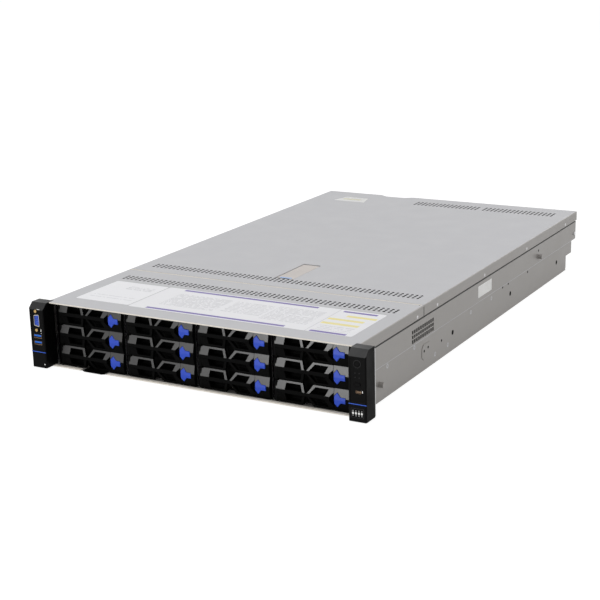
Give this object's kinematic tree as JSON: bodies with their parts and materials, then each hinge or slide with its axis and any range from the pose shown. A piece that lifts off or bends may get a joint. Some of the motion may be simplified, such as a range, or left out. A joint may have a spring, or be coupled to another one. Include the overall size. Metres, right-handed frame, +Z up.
{
  "type": "2u rack server",
  "caption": "Flat rack-mount server: sliding top cover with a latch, hot-swap drive carriers across the front, ears, fans, mainboard and hot-swap power supplies.",
  "frame": {"origin": "under the middle of the whole server, on its underside", "axes": "+X to the right seen from the front, +Y to the back, +Z up; the drive carriers face -Y"},
  "size_m": [0.4826, 0.8112, 0.086],
  "materials": {
    "plated_steel": "zinc-plated sheet steel, satin",
    "bright_steel": "plated sheet steel",
    "black_plastic": "moulded, fine texture",
    "ear_plastic": "moulded, satin black",
    "blue_plastic": "moulded, coloured through",
    "pale_plastic": "moulded, pale beige",
    "circuit_board": "green solder mask",
    "aluminium": "mill finish"
  },
  "bodies": {
    "chassis": {"chassis_base": "plated_steel", "front_top_panel": "plated_steel", "drive_cage": "bright_steel", "backplane": "circuit_board", "fan_cage": "black_plastic", "mainboard": "circuit_board", "cpu_heatsinks": "aluminium", "memory_modules": "circuit_board", "riser_cages": "bright_steel", "left_ear": "ear_plastic", "right_ear": "ear_plastic"},
    "cover": {"top_cover": "plated_steel"},
    "cover_handle": {"cover_latch": "pale_plastic"},
    "carrier_11": {"drive_carrier_11": "black_plastic"},
    "lever_11": {"carrier_lever_11": "black_plastic"},
    "button_11": {"release_button_11": "blue_plastic"},
    "carrier_12": {"drive_carrier_12": "black_plastic"},
    "lever_12": {"carrier_lever_12": "black_plastic"},
    "button_12": {"release_button_12": "blue_plastic"},
    "carrier_13": {"drive_carrier_13": "black_plastic"},
    "lever_13": {"carrier_lever_13": "black_plastic"},
    "button_13": {"release_button_13": "blue_plastic"},
    "carrier_21": {"drive_carrier_21": "black_plastic"},
    "lever_21": {"carrier_lever_21": "black_plastic"},
    "button_21": {"release_button_21": "blue_plastic"},
    "carrier_22": {"drive_carrier_22": "black_plastic"},
    "lever_22": {"carrier_lever_22": "black_plastic"},
    "button_22": {"release_button_22": "blue_plastic"},
    "carrier_23": {"drive_carrier_23": "black_plastic"},
    "lever_23": {"carrier_lever_23": "black_plastic"},
    "button_23": {"release_button_23": "blue_plastic"},
    "carrier_31": {"drive_carrier_31": "black_plastic"},
    "lever_31": {"carrier_lever_31": "black_plastic"},
    "button_31": {"release_button_31": "blue_plastic"},
    "carrier_32": {"drive_carrier_32": "black_plastic"},
    "lever_32": {"carrier_lever_32": "black_plastic"},
    "button_32": {"release_button_32": "blue_plastic"},
    "carrier_33": {"drive_carrier_33": "black_plastic"},
    "lever_33": {"carrier_lever_33": "black_plastic"},
    "button_33": {"release_button_33": "blue_plastic"},
    "carrier_41": {"drive_carrier_41": "black_plastic"},
    "lever_41": {"carrier_lever_41": "black_plastic"},
    "button_41": {"release_button_41": "blue_plastic"},
    "carrier_42": {"drive_carrier_42": "black_plastic"},
    "lever_42": {"carrier_lever_42": "black_plastic"},
    "button_42": {"release_button_42": "blue_plastic"},
    "carrier_43": {"drive_carrier_43": "black_plastic"},
    "lever_43": {"carrier_lever_43": "black_plastic"},
    "button_43": {"release_button_43": "blue_plastic"},
    "rotor_1": {"fan_rotor_1": "black_plastic"},
    "rotor_2": {"fan_rotor_2": "black_plastic"},
    "rotor_3": {"fan_rotor_3": "black_plastic"},
    "rotor_4": {"fan_rotor_4": "black_plastic"},
    "supply_1": {"power_supply_1": "bright_steel"},
    "supply_latch_1": {"psu_latch_1": "blue_plastic"},
    "supply_2": {"power_supply_2": "bright_steel"},
    "supply_latch_2": {"psu_latch_2": "blue_plastic"},
    "power_button_cap": {"power_button": "ear_plastic"},
    "id_button_cap": {"id_button": "ear_plastic"},
    "tag": {"service_tag": "black_plastic"}
  },
  "joints": [
    {"name": "cover_slide", "type": "slide", "parent": "chassis", "child": "cover", "axis": [0, 1, 0], "range_m": [0, 0.015]},
    {"name": "cover_handle_lift", "type": "hinge", "parent": "cover", "child": "cover_handle", "pos_m": [0, -0.0914, 0.081], "axis": [-1, 0, 0], "range_deg": [0, 90]},
    {"name": "carrier_11_slide", "type": "slide", "parent": "chassis", "child": "carrier_11", "axis": [0, -1, 0], "range_m": [0, 0.165]},
    {"name": "lever_11_swing", "type": "hinge", "parent": "carrier_11", "child": "lever_11", "pos_m": [-0.207, -0.3819, 0.0153], "axis": [0, 0, -1], "range_deg": [0, 50]},
    {"name": "button_11_press", "type": "slide", "parent": "carrier_11", "child": "button_11", "axis": [0, 1, 0], "range_m": [0, 0.0025], "stiffness_N_per_m": 400, "springref_m": -0.001},
    {"name": "carrier_12_slide", "type": "slide", "parent": "chassis", "child": "carrier_12", "axis": [0, -1, 0], "range_m": [0, 0.165]},
    {"name": "lever_12_swing", "type": "hinge", "parent": "carrier_12", "child": "lever_12", "pos_m": [-0.207, -0.3819, 0.043], "axis": [0, 0, -1], "range_deg": [0, 50]},
    {"name": "button_12_press", "type": "slide", "parent": "carrier_12", "child": "button_12", "axis": [0, 1, 0], "range_m": [0, 0.0025], "stiffness_N_per_m": 400, "springref_m": -0.001},
    {"name": "carrier_13_slide", "type": "slide", "parent": "chassis", "child": "carrier_13", "axis": [0, -1, 0], "range_m": [0, 0.165]},
    {"name": "lever_13_swing", "type": "hinge", "parent": "carrier_13", "child": "lever_13", "pos_m": [-0.207, -0.3819, 0.0707], "axis": [0, 0, -1], "range_deg": [0, 50]},
    {"name": "button_13_press", "type": "slide", "parent": "carrier_13", "child": "button_13", "axis": [0, 1, 0], "range_m": [0, 0.0025], "stiffness_N_per_m": 400, "springref_m": -0.001},
    {"name": "carrier_21_slide", "type": "slide", "parent": "chassis", "child": "carrier_21", "axis": [0, -1, 0], "range_m": [0, 0.165]},
    {"name": "lever_21_swing", "type": "hinge", "parent": "carrier_21", "child": "lever_21", "pos_m": [-0.1005, -0.3819, 0.0153], "axis": [0, 0, -1], "range_deg": [0, 50]},
    {"name": "button_21_press", "type": "slide", "parent": "carrier_21", "child": "button_21", "axis": [0, 1, 0], "range_m": [0, 0.0025], "stiffness_N_per_m": 400, "springref_m": -0.001},
    {"name": "carrier_22_slide", "type": "slide", "parent": "chassis", "child": "carrier_22", "axis": [0, -1, 0], "range_m": [0, 0.165]},
    {"name": "lever_22_swing", "type": "hinge", "parent": "carrier_22", "child": "lever_22", "pos_m": [-0.1005, -0.3819, 0.043], "axis": [0, 0, -1], "range_deg": [0, 50]},
    {"name": "button_22_press", "type": "slide", "parent": "carrier_22", "child": "button_22", "axis": [0, 1, 0], "range_m": [0, 0.0025], "stiffness_N_per_m": 400, "springref_m": -0.001},
    {"name": "carrier_23_slide", "type": "slide", "parent": "chassis", "child": "carrier_23", "axis": [0, -1, 0], "range_m": [0, 0.165]},
    {"name": "lever_23_swing", "type": "hinge", "parent": "carrier_23", "child": "lever_23", "pos_m": [-0.1005, -0.3819, 0.0707], "axis": [0, 0, -1], "range_deg": [0, 50]},
    {"name": "button_23_press", "type": "slide", "parent": "carrier_23", "child": "button_23", "axis": [0, 1, 0], "range_m": [0, 0.0025], "stiffness_N_per_m": 400, "springref_m": -0.001},
    {"name": "carrier_31_slide", "type": "slide", "parent": "chassis", "child": "carrier_31", "axis": [0, -1, 0], "range_m": [0, 0.165]},
    {"name": "lever_31_swing", "type": "hinge", "parent": "carrier_31", "child": "lever_31", "pos_m": [0.006, -0.3819, 0.0153], "axis": [0, 0, -1], "range_deg": [0, 50]},
    {"name": "button_31_press", "type": "slide", "parent": "carrier_31", "child": "button_31", "axis": [0, 1, 0], "range_m": [0, 0.0025], "stiffness_N_per_m": 400, "springref_m": -0.001},
    {"name": "carrier_32_slide", "type": "slide", "parent": "chassis", "child": "carrier_32", "axis": [0, -1, 0], "range_m": [0, 0.165]},
    {"name": "lever_32_swing", "type": "hinge", "parent": "carrier_32", "child": "lever_32", "pos_m": [0.006, -0.3819, 0.043], "axis": [0, 0, -1], "range_deg": [0, 50]},
    {"name": "button_32_press", "type": "slide", "parent": "carrier_32", "child": "button_32", "axis": [0, 1, 0], "range_m": [0, 0.0025], "stiffness_N_per_m": 400, "springref_m": -0.001},
    {"name": "carrier_33_slide", "type": "slide", "parent": "chassis", "child": "carrier_33", "axis": [0, -1, 0], "range_m": [0, 0.165]},
    {"name": "lever_33_swing", "type": "hinge", "parent": "carrier_33", "child": "lever_33", "pos_m": [0.006, -0.3819, 0.0707], "axis": [0, 0, -1], "range_deg": [0, 50]},
    {"name": "button_33_press", "type": "slide", "parent": "carrier_33", "child": "button_33", "axis": [0, 1, 0], "range_m": [0, 0.0025], "stiffness_N_per_m": 400, "springref_m": -0.001},
    {"name": "carrier_41_slide", "type": "slide", "parent": "chassis", "child": "carrier_41", "axis": [0, -1, 0], "range_m": [0, 0.165]},
    {"name": "lever_41_swing", "type": "hinge", "parent": "carrier_41", "child": "lever_41", "pos_m": [0.1125, -0.3819, 0.0153], "axis": [0, 0, -1], "range_deg": [0, 50]},
    {"name": "button_41_press", "type": "slide", "parent": "carrier_41", "child": "button_41", "axis": [0, 1, 0], "range_m": [0, 0.0025], "stiffness_N_per_m": 400, "springref_m": -0.001},
    {"name": "carrier_42_slide", "type": "slide", "parent": "chassis", "child": "carrier_42", "axis": [0, -1, 0], "range_m": [0, 0.165]},
    {"name": "lever_42_swing", "type": "hinge", "parent": "carrier_42", "child": "lever_42", "pos_m": [0.1125, -0.3819, 0.043], "axis": [0, 0, -1], "range_deg": [0, 50]},
    {"name": "button_42_press", "type": "slide", "parent": "carrier_42", "child": "button_42", "axis": [0, 1, 0], "range_m": [0, 0.0025], "stiffness_N_per_m": 400, "springref_m": -0.001},
    {"name": "carrier_43_slide", "type": "slide", "parent": "chassis", "child": "carrier_43", "axis": [0, -1, 0], "range_m": [0, 0.165]},
    {"name": "lever_43_swing", "type": "hinge", "parent": "carrier_43", "child": "lever_43", "pos_m": [0.1125, -0.3819, 0.0707], "axis": [0, 0, -1], "range_deg": [0, 50]},
    {"name": "button_43_press", "type": "slide", "parent": "carrier_43", "child": "button_43", "axis": [0, 1, 0], "range_m": [0, 0.0025], "stiffness_N_per_m": 400, "springref_m": -0.001},
    {"name": "fan_1_spin", "type": "hinge", "parent": "chassis", "child": "rotor_1", "pos_m": [-0.1245, -0.0494, 0.042], "axis": [0, 1, 0], "continuous": true},
    {"name": "fan_2_spin", "type": "hinge", "parent": "chassis", "child": "rotor_2", "pos_m": [-0.0415, -0.0494, 0.042], "axis": [0, 1, 0], "continuous": true},
    {"name": "fan_3_spin", "type": "hinge", "parent": "chassis", "child": "rotor_3", "pos_m": [0.0415, -0.0494, 0.042], "axis": [0, 1, 0], "continuous": true},
    {"name": "fan_4_spin", "type": "hinge", "parent": "chassis", "child": "rotor_4", "pos_m": [0.1245, -0.0494, 0.042], "axis": [0, 1, 0], "continuous": true},
    {"name": "supply_1_slide", "type": "slide", "parent": "chassis", "child": "supply_1", "axis": [0, 1, 0], "range_m": [0, 0.185]},
    {"name": "supply_1_latch", "type": "hinge", "parent": "supply_1", "child": "supply_latch_1", "pos_m": [-0.1489, 0.3496, 0.0213], "axis": [0, 0, 1], "range_deg": [0, 6], "stiffness_Nm_per_rad": 0.3, "springref_deg": -5.73},
    {"name": "supply_2_slide", "type": "slide", "parent": "chassis", "child": "supply_2", "axis": [0, 1, 0], "range_m": [0, 0.185]},
    {"name": "supply_2_latch", "type": "hinge", "parent": "supply_2", "child": "supply_latch_2", "pos_m": [-0.1489, 0.3496, 0.0626], "axis": [0, 0, 1], "range_deg": [0, 6], "stiffness_Nm_per_rad": 0.3, "springref_deg": -5.73},
    {"name": "power_press", "type": "slide", "parent": "chassis", "child": "power_button_cap", "axis": [0, 1, 0], "range_m": [0, 0.001], "stiffness_N_per_m": 400, "springref_m": -0.001},
    {"name": "id_press", "type": "slide", "parent": "chassis", "child": "id_button_cap", "axis": [0, 1, 0], "range_m": [0, 0.001], "stiffness_N_per_m": 400, "springref_m": -0.001},
    {"name": "tag_pull", "type": "slide", "parent": "chassis", "child": "tag", "axis": [0, -1, 0], "range_m": [0, 0.03]}
  ],
  "couplings": [
    {"joint": "cover_handle_lift", "follows": "cover_slide", "rad_per_m": 104.7}
  ]
}
